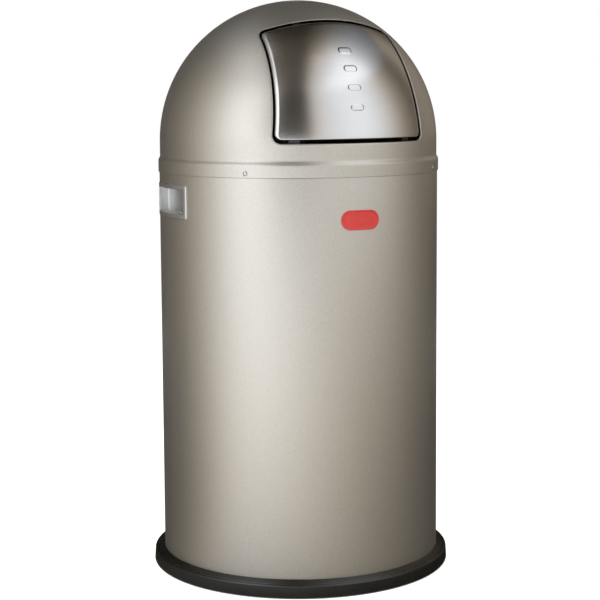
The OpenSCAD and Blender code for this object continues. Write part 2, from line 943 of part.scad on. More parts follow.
module liner_floor() {
    foot_r = wall_low_r - liner_t - touch;
    upper_r = foot_r + (wall_r(liner_low + floor_lift) - wall_low_r) / 2;
    color(zinc)
        rotate_extrude()
            polygon([
                [0, liner_low + floor_lift],
                [foot_r - liner_t - floor_bend, liner_low + floor_lift],
                [foot_r - liner_t, liner_low + floor_lift - floor_bend],
                [foot_r - liner_t, liner_low],
                [foot_r, liner_low],
                [upper_r - 0.01, liner_low + floor_lift + liner_t],
                [0, liner_low + floor_lift + liner_t]
            ]);
}

ear_in = wall_top_r + touch;
boss_out = bail_r - bail_d / 2 - seat;

// An ear riveted to the wall: its lower edge turns out and stops the bail level.
module bail_ear() {
    ear_low = ledge_z - ear_t;
    difference() {
        union() {
            curved_plate(ear_in, ear_in + ear_t, (ear_low + ear_top) / 2)
                rounded_rect(ear_w, ear_top - ear_low, ear_corner);
            curved_plate(ear_in, bail_r + bail_d / 2, ledge_z - ear_t / 2)
                square([ear_w - 2 * ear_corner, ear_t], center = true);
            translate([ear_in + ear_t / 2, 0, pivot_z])
                rotate([0, 90, 0])
                    cylinder(h = boss_out - ear_in - ear_t / 2, r = boss_r);
        }
        translate([ear_in - over, 0, pivot_z])
            rotate([0, 90, 0])
                cylinder(h = boss_out, r = bail_d / 2 + axle_fit);
        for (y = [-1, 1])
            translate([0, y * ear_rivet_y, ear_rivet_z])
                rotate([0, 90, 0])
                    cylinder(h = liner_r + over, r = rivet_r + touch);
    }
}

module bail_ears() {
    color(zinc)
        for (a = [90, 270])
            rotate([0, 0, a])
                bail_ear();
}

module ear_rivets() {
    color(zinc)
        for (a = [90, 270], y = [-1, 1])
            rotate([0, 0, a])
                translate([0, y * ear_rivet_y, ear_rivet_z])
                    rotate([0, 90, 0])
                        union() {
                            translate([0, 0, ear_in - touch])
                                cylinder(h = ear_t + 5 * touch, r = rivet_r);
                            translate([0, 0, ear_in + ear_t + touch / 2])
                                cylinder(h = rivet_tail_h, r1 = rivet_tail_r, r2 = rivet_r);
                        }
}

// The bail lies folded towards +X and turns on its ends along Y.
module bail() {
    pin_in = ear_in + seat;
    color(steel)
        translate([0, 0, pivot_z]) {
            rotate([0, 0, -90])
                rotate_extrude(angle = 180)
                    translate([bail_r, 0])
                        circle(bail_d / 2);
            for (side = [-1, 1])
                translate([0, side * bail_r, 0])
                    sphere(bail_d / 2);
            for (side = [-1, 1])
                translate([0, side > 0 ? pin_in : -bail_r, 0])
                    rotate([-90, 0, 0])
                        cylinder(h = bail_r - pin_in, r = bail_d / 2);
        }
}

module bail_sleeve() {
    color(rubber)
        translate([0, 0, pivot_z])
            rotate([0, 0, -sleeve_angle / 2])
                rotate_extrude(angle = sleeve_angle)
                    translate([bail_r, 0])
                        difference() {
                            circle(sleeve_d / 2);
                            circle(bail_d / 2 + touch / 2);
                        }
}

outer_tube();
floor_plate();
base_ring();
left_grip();
right_grip();
badge();
dome_shell();
collar_clips();
collar_rivets();
left_hinge_bracket();
right_hinge_bracket();
hinge_axle();
axle_clips();
flap_spring();
push_flap();
flap_hinge_bracket();
hinge_bushes();
flap_stop_tabs();
flap_buffers();
liner_wall();
liner_floor();
bail_ears();
ear_rivets();
bail();
bail_sleeve();
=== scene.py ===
"""Dresses the push bin: its pressed, turned and moulded pieces, finishes, lamps and camera."""
import json
from math import acos, atan2, cos, pi, radians, sin, sqrt

import bmesh
import bpy
from mathutils import Matrix, Vector


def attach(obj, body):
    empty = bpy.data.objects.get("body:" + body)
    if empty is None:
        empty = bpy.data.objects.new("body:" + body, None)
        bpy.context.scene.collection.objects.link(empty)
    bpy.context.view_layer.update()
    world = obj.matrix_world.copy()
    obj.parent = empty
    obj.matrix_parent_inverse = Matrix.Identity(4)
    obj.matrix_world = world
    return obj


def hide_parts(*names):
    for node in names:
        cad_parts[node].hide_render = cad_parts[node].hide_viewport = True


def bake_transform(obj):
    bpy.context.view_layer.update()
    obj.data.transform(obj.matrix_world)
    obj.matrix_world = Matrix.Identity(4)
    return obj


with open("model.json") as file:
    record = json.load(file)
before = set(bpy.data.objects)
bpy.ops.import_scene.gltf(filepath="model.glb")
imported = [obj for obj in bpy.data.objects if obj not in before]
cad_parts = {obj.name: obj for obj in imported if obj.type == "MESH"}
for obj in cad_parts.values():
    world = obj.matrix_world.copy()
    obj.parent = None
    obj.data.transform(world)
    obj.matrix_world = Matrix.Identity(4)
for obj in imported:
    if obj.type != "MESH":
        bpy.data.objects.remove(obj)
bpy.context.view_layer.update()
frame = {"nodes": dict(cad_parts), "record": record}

MM = 0.001
ROUND = 256
POLE = 0.02  # radius of the fine hole that a turned disc keeps on its axis

# Sizes of the bin in millimetres, as in its drawing. Heights are over the floor.

# Body tube, rubber ring and floor plate
SHEET = 1
BODY_R = 186
BODY_IN = BODY_R - SHEET
BODY_FOOT = 8
SEAT_R = BODY_R + 0.1  # where the grips and the badge sit on the paint
NECK_R = 182.5
NECK_LOW = 531
RIM_TOP, RIM_ROLL, RIM_CURL = 543.5, 2.2, 235
RING_R = 200
SHOULDER_Z = 15.5
PLATE_Z, PLATE_T = 20, 1.2

# Dome and collar
DOME_R, DOME_Z = 185, 570
SKIRT_Z = 563
STEP_LOW, STEP_TOP = 545, 551
COLLAR_R, COLLAR_LOW = 187.3, 530
RIVET_Z = 535.4
HINGE = Vector((0, -69.943, 719.994))

# The window as seen from the front, with heights over the dome's middle
WINDOW_LEAN = radians(5.6)
WINDOW_HALF, WINDOW_LOW, WINDOW_TOP = 105, 2, 156.3
WINDOW_ARC, CORNER_LOW, CORNER_TOP = 275, 10, 12
WINDOW_EDGE = 1.8
FLANGE_D = 4.5

# The flap: its ball, the gap round it, and the bend of its edge, which is tighter along its foot
FLAP_R = 184.5
FLAP_GAP = 2.8
FLAP_LOW = 4.2
FLAP_EDGE, FLAP_TIGHT = 3.8, 0.3
FLAP_RETURN = 8
RIB_HEIGHTS = (116.5, 94, 70.5, 46)
RIB_LENGTH, RIB_WIDTH, RIB_RISE, RIB_SLOPE = 17, 7, 0.6, 1.5

# Grips
GRIP_MID = 495.3
GRIP_FACE = 187.5
GRIP_W, GRIP_H, GRIP_BORDER, GRIP_CORNER = 100, 44, 6, 3
GRIP_UNDER = 3
GRIP_WALL = 1.5
GRIP_LIP = 4.5
RECESS_X = 169
CUT_GAP, CUT_DEEP = 0.6, 40

# Badge
BADGE_MID = 476.6
BADGE_W, BADGE_H, BADGE_PROUD, BADGE_BASE, BADGE_RIM = 52, 25, 1.8, 1, 1.7

# Liner, bail and sleeve
LINER_TOP, LINER_LOW = 535.5, 20.3
LINER_MID, LINER_ROLL, LINER_T = 163.3, 2.2, 0.8
WALL_TOP, WALL_LOW = 163.5, 153.5
SWAGE_REACH, SWAGE_PROUD = 5, 1.6
PIVOT_Z = 526
BAIL_R, BAIL_WIRE, PIN_IN = 171.5, 2, 163.9
SLEEVE_R, SLEEVE_HALF = 5, radians(14)

# Torsion spring
SPRING_R, SPRING_LEN, SPRING_TURNS, SPRING_WIRE = 5.5, 21.6, 9, 0.8
FLAP_LEG, DOME_LEG = (180.8, 44), (182.9, 16)  # radius and angle of the legs' ends


# Making

def let_go():
    """Leaves edit mode and lets go of everything that is selected."""
    if bpy.context.mode != "OBJECT":
        bpy.ops.object.mode_set(mode="OBJECT")
    bpy.ops.object.select_all(action="DESELECT")


def take(piece):
    """Selects one piece alone."""
    let_go()
    piece.select_set(True)
    bpy.context.view_layer.objects.active = piece


def smooth(piece, angle=32):
    """Smooth faces with crisp edges where two faces meet at more than the angle."""
    take(piece)
    bpy.ops.object.shade_smooth_by_angle(angle=radians(angle))
    return piece


def sheet_thick(piece, thickness):
    """Gives a skin the thickness of its sheet, on its inner side."""
    take(piece)
    wall = piece.modifiers.new("sheet", "SOLIDIFY")
    wall.thickness = thickness * MM
    wall.offset = -1
    wall.use_even_offset = True
    wall.use_quality_normals = True
    bpy.ops.object.modifier_apply(modifier=wall.name)
    return piece


def close_up(reach):
    """Joins the edited piece's points that lie within reach, and turns its faces outwards."""
    bpy.ops.mesh.select_all(action="SELECT")
    bpy.ops.mesh.remove_doubles(threshold=reach)
    bpy.ops.mesh.normals_make_consistent(inside=False)


def spaced(start, stop, steps):
    """Steps + 1 numbers from start to stop."""
    return [start + (stop - start) * i / steps for i in range(steps + 1)]


def arc(middle, radius, start, stop, steps):
    """Flat points on an arc between two angles in degrees."""
    return [Vector(middle) + radius * Vector((cos(radians(a)), sin(radians(a))))
            for a in spaced(start, stop, steps)]


def bend(a, corner, b, share):
    """A point on the soft curve that cuts the corner between a and b."""
    return a.lerp(corner, share).lerp(corner.lerp(b, share), share)


def eased(points, radius, steps=4):
    """Rounds the inner corners of a line of flat points."""
    points = [Vector(p) for p in points]
    line = [points[0]]
    for a, b, c in zip(points, points[1:], points[2:]):
        back, ahead = a - b, c - b
        reach = min(radius, back.length * 0.45, ahead.length * 0.45)
        p, q = b + back.normalized() * reach, b + ahead.normalized() * reach
        line += [bend(p, b, q, share) for share in spaced(0, 1, steps)]
    return line + [points[-1]]


def turned(name, profile, sides=ROUND):
    """A turned piece: one ring, extruded and scaled along a profile of radius and height."""
    let_go()
    radius, height = profile[0]
    bpy.ops.mesh.primitive_circle_add(vertices=sides, radius=radius * MM,
                                      location=(0, 0, height * MM))
    piece = bpy.context.object
    piece.name = name
    bpy.ops.object.transform_apply(location=True, rotation=False, scale=False)
    bpy.ops.object.mode_set(mode="EDIT")
    bpy.ops.mesh.select_all(action="SELECT")
    for (r0, z0), (r1, z1) in zip(profile, profile[1:]):
        rise = (0, 0, (z1 - z0) * MM)
        bpy.ops.mesh.extrude_region_move(TRANSFORM_OT_translate={"value": rise})
        bpy.ops.transform.resize(value=(r1 / r0, r1 / r0, 1), center_override=(0, 0, z1 * MM))
    close_up(0.00001)
    let_go()
    return piece


def add_loops(work, ring, loops):
    """Carries a skin on from a ring of its vertices through more loops of points."""
    for loop in loops:
        following = [work.verts.new(p * MM) for p in loop]
        for k in range(len(ring)):
            work.faces.new((ring[k], ring[k - 1], following[k - 1], following[k]))
        ring = following
    return ring


def draped(name, loops, capped=False):
    """A skin through loops of points, grown from one circle. Capped closes both ends."""
    let_go()
    bpy.ops.mesh.primitive_circle_add(vertices=len(loops[0]), radius=MM)
    piece = bpy.context.object
    piece.name = name
    bpy.ops.object.mode_set(mode="EDIT")
    work = bmesh.from_edit_mesh(piece.data)
    first = work.verts[:]
    for vertex, point in zip(first, loops[0]):
        vertex.co = point * MM
    last = add_loops(work, first, loops[1:])
    if capped:
        work.faces.new(first)
        work.faces.new(last[::-1])
    bmesh.update_edit_mesh(piece.data)
    if capped:
        close_up(0.000005)
    let_go()
    return piece


def bent_rod(name, path, radii, sides=24):
    """A rod of round section bent along a path of points, with one radius or one for each point."""
    loops = []
    ahead = (path[1] - path[0]).normalized()
    side = ahead.orthogonal().normalized()
    for i, point in enumerate(path):
        ahead = (path[min(i + 1, len(path) - 1)] - path[max(i - 1, 0)]).normalized()
        side = (side - ahead * side.dot(ahead)).normalized()
        other = ahead.cross(side)
        radius = radii[i] if isinstance(radii, list) else radii
        loops.append([point + radius * (cos(a) * side + sin(a) * other)
                      for a in spaced(0, 2 * pi, sides)[:-1]])
    return draped(name, loops, capped=True)


def dress(piece, body, slot, node):
    """Puts a piece in a CAD node's place, with its slot's finish, and lets it ride on a body."""
    piece.data.materials.clear()
    piece.data.materials.append(finishes[slot].material)
    if body:
        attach(piece, body)
    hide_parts(node)


# Finishes

class Value:
    """A number that varies over a surface. Sums and products on it become nodes."""

    def __init__(self, nodes, socket):
        self.nodes, self.socket = nodes, socket

    def maths(self, operation, *terms):
        return self.nodes.node("ShaderNodeMath", {"operation": operation}, dict(enumerate(terms)))

    def __add__(self, other):
        return self.maths("ADD", self, other)

    def __mul__(self, other):
        return self.maths("MULTIPLY", self, other)

    __radd__, __rmul__ = __add__, __mul__


class Nodes:
    """The nodes of a finish or of the world."""

    def __init__(self, tree):
        self.tree = tree

    def node(self, kind, settings=None, inputs=None, output=0):
        """Adds a node: its settings first, then the numbers, colours or links of its sockets."""
        made = self.tree.nodes.new(kind)
        for name, value in (settings or {}).items():
            if name == "stops":
                first, last = made.color_ramp.elements
                first.position, first.color = value[0][0], (*value[0][1], 1)
                last.position, last.color = value[-1][0], (*value[-1][1], 1)
                for position, colour in value[1:-1]:
                    made.color_ramp.elements.new(position).color = (*colour, 1)
            else:
                setattr(made, name, value)
        for name, value in (inputs or {}).items():
            if isinstance(value, Value):
                self.tree.links.new(value.socket, made.inputs[name])
            else:
                made.inputs[name].default_value = value
        return Value(self, made.outputs[output])


class Finish(Nodes):
    """A finish with its fixed numbers set on the shader itself."""

    def __init__(self, name, **fixed):
        self.material = bpy.data.materials.new(name)
        self.material.use_nodes = True
        super().__init__(self.material.node_tree)
        self.shader = self.tree.nodes["Principled BSDF"]
        for socket, value in fixed.items():
            self.shader.inputs[socket.replace("_", " ")].default_value = value
        self.place = self.node("ShaderNodeTexCoord", output="Object")

    def stretched(self, scale):
        return self.node("ShaderNodeMapping", inputs={"Vector": self.place, "Scale": scale})

    def noise(self, scale, detail=2, place=None, output=0):
        return self.node("ShaderNodeTexNoise", output=output, inputs={
            "Vector": place or self.place, "Scale": scale, "Detail": detail})

    def ramp(self, value, *stops):
        return self.node("ShaderNodeValToRGB", {"stops": stops}, {"Fac": value})

    def between(self, low, high, share, blend="MIX"):
        """A colour between two, or their blend, by a share."""
        return self.node("ShaderNodeMix", {"data_type": "RGBA", "blend_type": blend},
                         {0: share, 6: low, 7: high}, 2)

    def raised(self, height, depth, strength=1.0, under=None):
        """A bump of a height in metres, on top of the bump under it."""
        inputs = {"Height": height, "Distance": depth, "Strength": strength}
        if under:
            inputs["Normal"] = under
        return self.node("ShaderNodeBump", inputs=inputs)

    def feed(self, **links):
        for socket, value in links.items():
            self.tree.links.new(value.socket, self.shader.inputs[socket.replace("_", " ")])
        return self


def rgb(red, green, blue):
    """An opaque colour."""
    return (red, green, blue, 1)


def body_paint():
    """Fine metallic powder coat: flakes, a slight mottle and a fine orange peel."""
    paint = Finish("body_paint", Metallic=0.88, Coat_Weight=0.1, Coat_Roughness=0.3)
    flakes = paint.noise(1500, 1)
    mottle = paint.noise(7, 3)
    glint = paint.ramp(flakes, (0.38, (0.51, 0.478, 0.415)), (0.5, (0.565, 0.535, 0.47)),
                       (0.64, (0.66, 0.63, 0.56)))
    colour = paint.between(glint, rgb(0.6, 0.565, 0.49), mottle * 0.3)
    peel = paint.raised(paint.noise(420, 2), 0.00003, 0.6)
    return paint.feed(Base_Color=colour, Roughness=0.34 + flakes * 0.1,
                      Normal=paint.raised(flakes, 0.00002, 0.5, peel))


def flap_steel():
    """Polished stainless sheet with faint polishing lines and a few wipes."""
    steel = Finish("flap_steel", Metallic=1.0)
    lines = steel.noise(1, 4, steel.stretched((60, 60, 2600)))
    wipes = steel.noise(16, 4)
    colour = steel.between(rgb(0.614, 0.598, 0.565), rgb(0.694, 0.678, 0.645), lines)
    return steel.feed(Base_Color=colour, Roughness=0.16 + wipes * 0.06 + lines * 0.05,
                      Normal=steel.raised(lines, 0.000004, 0.5))


def fitting_steel():
    """Bright zinc on small steel pieces, with painted shade: a dark band where the flap's stops sit
    in the gap.
    """
    zinc = Finish("fitting_steel", Metallic=1.0)
    cloud = zinc.noise(120, 3)
    grain = zinc.noise(2200, 2)
    height = zinc.node("ShaderNodeSeparateXYZ", inputs={0: zinc.place}, output=2)
    # Painted shade: from about 556 to 597 mm up, the zinc is darkened to a tenth, where the stops
    # sit in the shaded gap round the flap.
    unshaded, shaded = (1, 1, 1), (0.1, 0.1, 0.1)
    gap_shade = zinc.ramp(height, (0, unshaded), (0.554, unshaded), (0.56, shaded), (0.594, shaded),
                       (0.6, unshaded), (1, unshaded))
    clean = zinc.between(rgb(0.56, 0.57, 0.57), rgb(0.68, 0.68, 0.66), cloud)
    return zinc.feed(Base_Color=zinc.between(clean, gap_shade, 1.0, "MULTIPLY"),
                     Roughness=0.24 + cloud * 0.16, Normal=zinc.raised(grain, 0.00001, 0.4))


def grip_metal():
    """Satin die-cast metal with a fine blasted grain."""
    satin = Finish("grip_metal", Metallic=0.93)
    grain = satin.noise(1900, 2)
    cloud = satin.noise(45, 3)
    colour = satin.between(rgb(0.66, 0.66, 0.65), rgb(0.74, 0.74, 0.725), cloud)
    return satin.feed(Base_Color=colour, Roughness=0.34 + grain * 0.12,
                      Normal=satin.raised(grain, 0.00001, 0.5))


def badge_red():
    """Glossy red enamel over a pressed badge."""
    enamel = Finish("badge_red", Roughness=0.22, Coat_Weight=0.6, Coat_Roughness=0.06)
    cloud = enamel.noise(140, 3)
    ripple = enamel.noise(260, 2)
    colour = enamel.between(rgb(0.56, 0.028, 0.026), rgb(0.66, 0.045, 0.035), cloud)
    return enamel.feed(Base_Color=colour, Normal=enamel.raised(ripple, 0.00002, 0.4))


def moulded(name, low, high, gloss, rough, sheen=0.5):
    """Moulded rubber or plastic with a fine skin."""
    skin = Finish(name, Specular_IOR_Level=sheen)
    cloud = skin.noise(30, 4)
    grain = skin.noise(900, 3)
    return skin.feed(Base_Color=skin.between(rgb(*low), rgb(*high), cloud),
                     Roughness=gloss + cloud * rough, Normal=skin.raised(grain, 0.00003, 0.5))


def galvanised():
    """Dipped zinc with its broad spangle."""
    dipped = Finish("galvanised", Metallic=0.95)
    drift = dipped.noise(60.0, output=1)
    waver = dipped.node("ShaderNodeVectorMath", {"operation": "SCALE"}, {0: drift, "Scale": 0.012})
    warped = dipped.node("ShaderNodeVectorMath", {"operation": "ADD"}, {0: dipped.place, 1: waver})
    crystals = dipped.node("ShaderNodeTexVoronoi", inputs={"Vector": warped, "Scale": 90.0},
                           output="Color")
    shade = dipped.node("ShaderNodeSeparateColor", inputs={0: crystals})
    cloud = dipped.noise(18, 3)
    colour = dipped.between(rgb(0.42, 0.44, 0.45), rgb(0.6, 0.62, 0.63), shade)
    return dipped.feed(Base_Color=colour, Roughness=0.32 + shade * 0.16 + cloud * 0.08,
                       Normal=dipped.raised(shade, 0.00001, 0.3))


finishes = {
    "body_paint": body_paint(),
    "ring_rubber": moulded("ring_rubber", (0.006, 0.006, 0.005), (0.012, 0.012, 0.010),
                           0.2, 0.12, 0.7),
    "flap_steel": flap_steel(),
    "fitting_steel": fitting_steel(),
    "grip_metal": grip_metal(),
    "badge_red": badge_red(),
    "galvanised": galvanised(),
    "nylon": moulded("nylon", (0.70, 0.68, 0.61), (0.77, 0.75, 0.69), 0.4, 0.15),
    "buffer_rubber": moulded("buffer_rubber", (0.02, 0.02, 0.02), (0.035, 0.034, 0.032), 0.6, 0.2),
    "sleeve_plastic": moulded("sleeve_plastic", (0.025, 0.025, 0.026), (0.04, 0.04, 0.041),
                              0.38, 0.15),
}
for part in frame["record"]["subparts"]:
    node = frame["nodes"][part["node"]]
    node.data.materials.clear()
    node.data.materials.append(finishes[part["material_slot"]].material)


# The window, the dome and the flap

def mirrored(half):
    """Closes an outline: its right half, from the middle of its foot to its top, and its left."""
    return half + [Vector((-p.x, p.y)) for p in half[-2:0:-1]]


def line_to(start, stop, steps):
    """Points on a straight line, without its last."""
    return [start.lerp(stop, s) for s in spaced(0, 1, steps)][:-1]


def window_outline(grow, low, steps):
    """The window's outline from the front, from the middle of its lower edge round to the right."""
    side = Vector((cos(WINDOW_LEAN), sin(WINDOW_LEAN)))
    along = Vector((-side.y, side.x))
    lean = WINDOW_LEAN * 180 / pi
    reach = side.x * WINDOW_HALF + side.y * WINDOW_LOW
    low_y = low + CORNER_LOW
    low_mid = Vector(((reach - CORNER_LOW - side.y * low_y) / side.x, low_y))
    hub = Vector((0, WINDOW_TOP - WINDOW_ARC))
    base = side * (reach - CORNER_TOP)
    offset = base - hub
    inner = WINDOW_ARC - CORNER_TOP
    down = offset.dot(along)
    top_mid = base + along * (-down + sqrt(down ** 2 - offset.dot(offset) + inner * inner))
    turn = atan2(top_mid.y - hub.y, top_mid.x) * 180 / pi
    bottom, low_corner, edge, top_corner, top = steps
    low_arc = arc(low_mid, CORNER_LOW + grow, -90, lean, low_corner)
    top_arc = arc(top_mid, CORNER_TOP + grow, lean, turn, top_corner)
    half = line_to(Vector((0, low - grow)), low_arc[0], bottom) + low_arc[:-1]
    half += line_to(low_arc[-1], top_arc[0], edge) + top_arc[:-1]
    return mirrored(half + arc(hub, WINDOW_ARC + grow, turn, 90, top))


def on_ball(point, radius, back=0):
    """A point seen from the front, laid on a ball about the dome's middle."""
    return Vector((point.x, back - sqrt(radius * radius - point.dot(point)), DOME_Z + point.y))


def make_dome():
    """Dome, window flange, skirt, step and collar as one sheet, in loops about the window."""
    steps = (30, 14, 62, 14, 40)
    rows, ease, soft = 46, 1.5, 0.25
    opening = [on_ball(p, DOME_R) for p in window_outline(0, WINDOW_LOW, steps)]
    edge = [on_ball(p, DOME_R) for p in window_outline(WINDOW_EDGE, WINDOW_LOW, steps)]
    inward = Vector((0, 1, 0))
    loops = [[p + inward * depth for p in opening]
             for depth in (FLANGE_D, (FLANGE_D + WINDOW_EDGE) / 2)]
    for share in spaced(0, 1, 7):
        loops.append([bend(p + inward * WINDOW_EDGE, p, q, share) for p, q in zip(opening, edge)])

    middle = Vector((0, 0, DOME_Z))
    axis = on_ball(Vector((0, (WINDOW_LOW + WINDOW_TOP) / 2)), DOME_R) - middle
    axis.normalize()
    for i in range(1, rows + 1):
        loop = []
        for p in edge:
            spoke = (p - middle).normalized()
            start = acos(spoke.dot(axis))
            away = (spoke - axis * spoke.dot(axis)).normalized()
            stop = atan2(axis.z, -away.z)
            angle = start + (stop - start) * i / rows
            loop.append(middle + DOME_R * (axis * cos(angle) + away * sin(angle)))
        loops.append(loop)

    equator = loops[-1]
    fall = [(DOME_R, SKIRT_Z), (DOME_R, STEP_TOP + ease)]
    for s in spaced(1, 0, 14):
        out = COLLAR_R + (DOME_R - COLLAR_R) * (1 - cos(pi * s)) / 2
        fall.append((out, STEP_LOW + (STEP_TOP - STEP_LOW) * s))
    fall += [(COLLAR_R, STEP_LOW - ease), (COLLAR_R, COLLAR_LOW + 1),
             (COLLAR_R, COLLAR_LOW + soft), (COLLAR_R - soft, COLLAR_LOW)]
    for radius, height in fall:
        loops.append([Vector((p.x * radius / DOME_R, p.y * radius / DOME_R, height))
                      for p in equator])
    dome = sheet_thick(draped("dome_sheet", loops), SHEET)
    dress(smooth(dome, 40), "dome", "body_paint", "dome_shell")


def rib_rise(point):
    """How far the flap's face is pressed out at a point: a column of short round-ended ribs."""
    rise = 0
    for height in RIB_HEIGHTS:
        beyond = max(abs(point.x) - (RIB_LENGTH - RIB_WIDTH) / 2, 0)
        out = sqrt(beyond ** 2 + (point.y - height) ** 2) - RIB_WIDTH / 2
        share = min(max(0.5 - out / RIB_SLOPE, 0), 1)
        rise += RIB_RISE * share * share * (3 - 2 * share)
    return rise


def make_flap():
    """Flap pressed to the dome's ball: a fine field for the ribs, and loops out to its edge."""
    across, up = 40, 160
    left, right, low, high = -11, 11, 36, 126
    steps = (36, 18, 74, 18, 54)
    margin = 0.4

    def on_field(column, row):
        return Vector((left + (right - left) * column / across, low + (high - low) * row / up))

    def flap_outline(inset):
        return window_outline(-FLAP_GAP - inset, FLAP_LOW, steps)

    let_go()
    bpy.ops.mesh.primitive_grid_add(x_subdivisions=across, y_subdivisions=up, size=1)
    flap = bpy.context.object
    flap.name = "flap_sheet"
    bpy.ops.object.mode_set(mode="EDIT")
    work = bmesh.from_edit_mesh(flap.data)
    cells = {}
    for vertex in work.verts:
        column, row = round((vertex.co.x + 0.5) * across), round((vertex.co.y + 0.5) * up)
        cells[column, row] = vertex
        point = on_field(column, row)
        vertex.co = on_ball(point, FLAP_R + rib_rise(point)) * MM
    rim = [(c, 0) for c in range(across // 2, across)] + [(across, r) for r in range(up)]
    rim += [(c, up) for c in range(across, 0, -1)] + [(0, r) for r in range(up, 0, -1)]
    rim += [(c, 0) for c in range(across // 2)]
    field = [on_field(*cell) for cell in rim]

    border, inner = flap_outline(0), flap_outline(FLAP_EDGE)
    radii = []
    for p, q in zip(border, inner):
        down = min(max((q - p).normalized().y, 0), 1)
        radii.append(FLAP_EDGE * (1 - (1 - FLAP_TIGHT) * down * down))
    flat = [p.lerp(q, (radius + margin) / FLAP_EDGE)
            for p, q, radius in zip(border, inner, radii)]
    loops = [[on_ball(a.lerp(b, share), FLAP_R) for a, b in zip(field, flat)]
             for share in spaced(0, 1, 26)[1:]]
    for angle in spaced(90, 0, 9):
        inset, drop = 1 - cos(radians(angle)), 1 - sin(radians(angle))
        loops.append([on_ball(p.lerp(q, inset * radius / FLAP_EDGE), FLAP_R, drop * radius)
                      for p, q, radius in zip(border, inner, radii)])
    loops += [[on_ball(p, FLAP_R, drop) for p in border] for drop in (6, FLAP_RETURN)]
    add_loops(work, [cells[cell] for cell in rim], loops)
    bmesh.update_edit_mesh(flap.data)
    dress(smooth(sheet_thick(flap, SHEET), 40), "flap", "flap_steel", "push_flap")


# Body, ring and floor

def make_body():
    """Body tube with its stepped neck and rolled rim, cut out for the grips."""
    roll = Vector((NECK_R - RIM_ROLL, RIM_TOP - RIM_ROLL))
    neck_in, rise, drop = NECK_R - SHEET, 2.8, 0.5
    outer = eased([(BODY_R, BODY_FOOT), (BODY_R, NECK_LOW), (NECK_R, NECK_LOW + rise),
                   (NECK_R, roll.y)], 2, 5)
    curl = arc(roll, RIM_ROLL, 0, RIM_CURL, 20)[1:] + arc(roll, RIM_ROLL - SHEET, RIM_CURL, 0, 16)
    inner = eased([(neck_in, roll.y - drop), (neck_in, NECK_LOW + rise - drop),
                   (BODY_IN, NECK_LOW - drop), (BODY_IN, BODY_FOOT)], 2, 5)
    tube = turned("body_tube", outer + curl + inner + [Vector((BODY_R, BODY_FOOT))])
    spare = CUT_GAP + 2 * GRIP_WALL - 2 * GRIP_BORDER
    for side in (1, -1):
        let_go()
        place = (side * BODY_IN * MM, 0, (GRIP_MID + GRIP_UNDER / 2) * MM)
        bpy.ops.mesh.primitive_cube_add(size=1, location=place)
        cutter = bpy.context.object
        cutter.scale = (CUT_DEEP * MM, (GRIP_W + spare) * MM, (GRIP_H + spare + GRIP_UNDER) * MM)
        bpy.ops.object.transform_apply(location=True, rotation=True, scale=True)
        take(tube)
        cut = tube.modifiers.new("grip_hole", "BOOLEAN")
        cut.object = cutter
        cut.operation = "DIFFERENCE"
        bpy.ops.object.modifier_apply(modifier=cut.name)
        bpy.data.objects.remove(cutter)
    dress(smooth(tube, 30), "bin", "body_paint", "outer_tube")


def make_ring():
    """Rubber ring: rounded shoulder, thin groove, sloping flange and the groove for the tube."""
    wall = eased([(177.5, 0), (198.4, 0), (RING_R, 1.6), (199.2, SHOULDER_Z)], 0.8, 4)
    shoulder = arc((196.2, SHOULDER_Z), 3, 0, 84, 10)[1:]
    groove = [Vector(p) for p in (
        (196.0, 18.5), (195.75, 18.35), (195.5, 17.95), (195.1, 17.75), (194.7, 17.75),
        (194.3, 17.95), (194.05, 18.45), (193.8, 18.82), (193.5, 18.92))]
    slope = eased([groove[-1], (188, 21.45), (187, 22), (186.15, 21.7), (186.1, 8), (184.9, 8),
                   (184.9, 13), (177.4, 13), (176, 11.6), (176, 1.5), (177.5, 0)], 0.6, 3)[1:]
    ring = turned("ring_moulding", wall + shoulder + groove + slope)
    dress(smooth(ring, 50), "bin", "ring_rubber", "base_ring")


def make_floor_plate():
    """Pressed floor with its bead and upturned edge."""
    edge, lip, bead = BODY_IN - 0.1, 32, 3
    low = PLATE_Z - PLATE_T
    under = [(POLE, low), (112.5, low), (116.5, low - bead), (136.5, low - bead), (140.5, low),
             (edge, low), (edge, lip)]
    upper = [(edge - PLATE_T, lip), (edge - PLATE_T, PLATE_Z), (139.3, PLATE_Z),
             (135.3, PLATE_Z - bead), (117.7, PLATE_Z - bead), (113.7, PLATE_Z), (POLE, PLATE_Z)]
    plate = turned("floor_pressing", eased(under, 2, 4) + eased(upper, 2, 4), 160)
    dress(smooth(plate), "bin", "galvanised", "floor_plate")


# Grips, badge and rivets

def rounded_box(width, low, high, corner, steps=(14, 6, 8)):
    """Outline of a rounded rectangle, from the middle of its lower edge round to the right."""
    half_bottom, round_corner, side = steps
    x = width / 2 - corner
    low_arc = arc((x, low + corner), corner, -90, 0, round_corner)
    top_arc = arc((x, high - corner), corner, 0, 90, round_corner)
    half = line_to(Vector((0, low)), low_arc[0], half_bottom) + low_arc[:-1]
    half += line_to(low_arc[-1], top_arc[0], side) + top_arc[:-1]
    half += [top_arc[-1].lerp(Vector((0, high)), s) for s in spaced(0, 1, half_bottom)]
    return mirrored(half)


def on_tube(point, radius):
    """A point seen from the front, laid on a tube about the bin's axis."""
    return Vector((point.x, -sqrt(radius * radius - point.x ** 2), point.y))


def on_wall(point, depth):
    """A point seen from the front, laid on a flat wall at a distance from the bin's axis."""
    return Vector((point.x, -depth, point.y))


